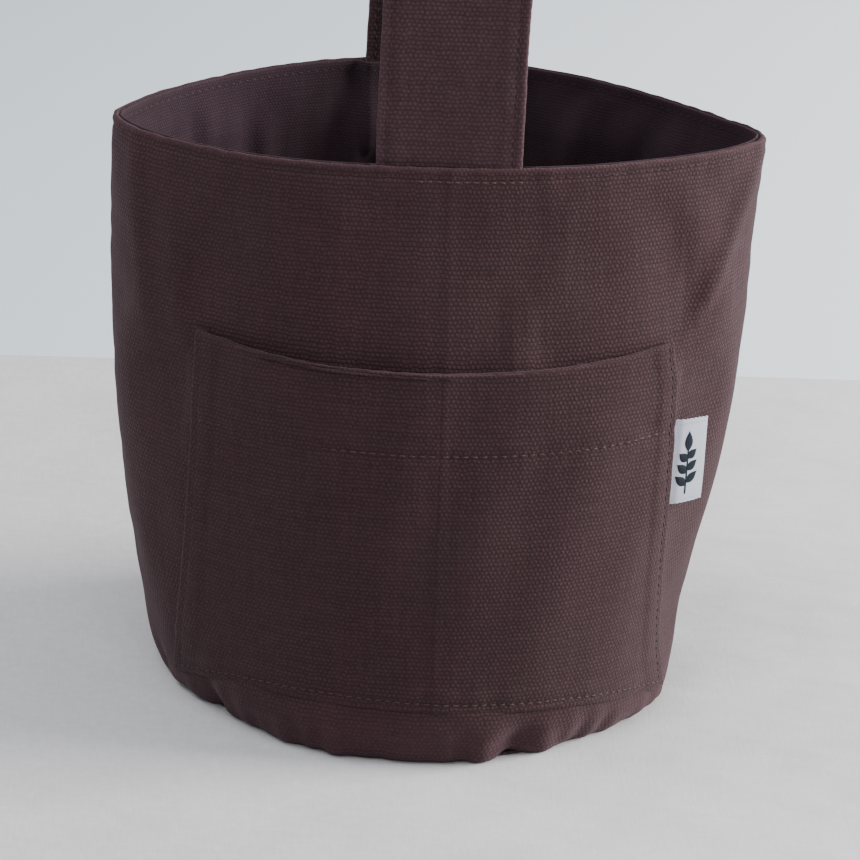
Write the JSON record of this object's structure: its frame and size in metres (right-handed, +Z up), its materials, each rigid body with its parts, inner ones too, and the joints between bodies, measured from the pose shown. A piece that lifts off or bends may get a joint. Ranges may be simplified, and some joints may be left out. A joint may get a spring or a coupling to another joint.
{
  "type": "garden tool bag",
  "caption": "Small round-bottomed canvas bucket tote for garden hand tools, with one wide carry strap, a front patch pocket and a folded side label.",
  "frame": {"origin": "centre of the round base on the surface that the bag stands on", "axes": "+Z up out of the mouth; -Y towards the front, where the pocket is; +X to the right as seen from the front"},
  "size_m": [0.2178, 0.1812, 0.3859],
  "materials": {
    "canvas": "dark plum-brown heavy cotton canvas, plain weave, matt",
    "lining": "the same plum-brown canvas, inner face, softer and a little darker",
    "pocket_canvas": "dark plum-brown heavy cotton canvas, plain weave, matt",
    "strap_canvas": "dark plum-brown canvas folded double, with edge stitching",
    "thread": "brown polyester sewing thread, slight sheen",
    "label_cloth": "off-white woven label tape, fine satin ribs",
    "label_thread": "dark woven motif yarn, matt"
  },
  "bodies": {
    "bag": {"outer_front_panel": "canvas", "outer_back_panel": "canvas", "outer_base_disc": "canvas", "lining_front_panel": "lining", "lining_back_panel": "lining", "lining_base_disc": "lining", "base_seam_allowance": "canvas", "side_seam_allowance_left": "canvas", "side_seam_allowance_right": "canvas", "rim_turning_front": "canvas", "rim_turning_back": "canvas", "strap_root_front": "strap_canvas", "strap_root_back": "strap_canvas", "rim_topstitch": "thread", "strap_anchor_stitch_front": "thread", "strap_anchor_stitch_back": "thread", "pocket_bottom_margin": "pocket_canvas", "pocket_margin_left": "pocket_canvas", "pocket_margin_right": "pocket_canvas", "pocket_bottom_stitch": "thread", "pocket_side_stitch_left": "thread", "pocket_side_stitch_right": "thread"},
    "strap": {"carry_strap": "strap_canvas", "strap_edge_stitching": "thread", "strap_flex_front": "strap_canvas", "strap_flex_back": "strap_canvas"},
    "pocket_lip": {"pocket_panel": "pocket_canvas", "pocket_hem_fold": "pocket_canvas", "pocket_hem_stitch": "thread"},
    "label": {"side_label": "label_cloth", "label_motif": "label_thread"}
  },
  "joints": [
    {"name": "strap_swing", "type": "hinge", "parent": "bag", "child": "strap", "pos_m": [0, 0.0165, 0.219], "axis": [0, 1, 0], "range_deg": [-60, 60], "deforming": ["strap_flex_front", "strap_flex_back"]},
    {"name": "pocket_mouth", "type": "hinge", "parent": "bag", "child": "pocket_lip", "pos_m": [0, -0.0925, 0.0254], "axis": [1, 0, 0], "range_deg": [0, 8]},
    {"name": "label_flip", "type": "hinge", "parent": "bag", "child": "label", "pos_m": [0.08, -0.0525, 0.093], "axis": [0, 0, 1], "range_deg": [-100, 0]}
  ]
}
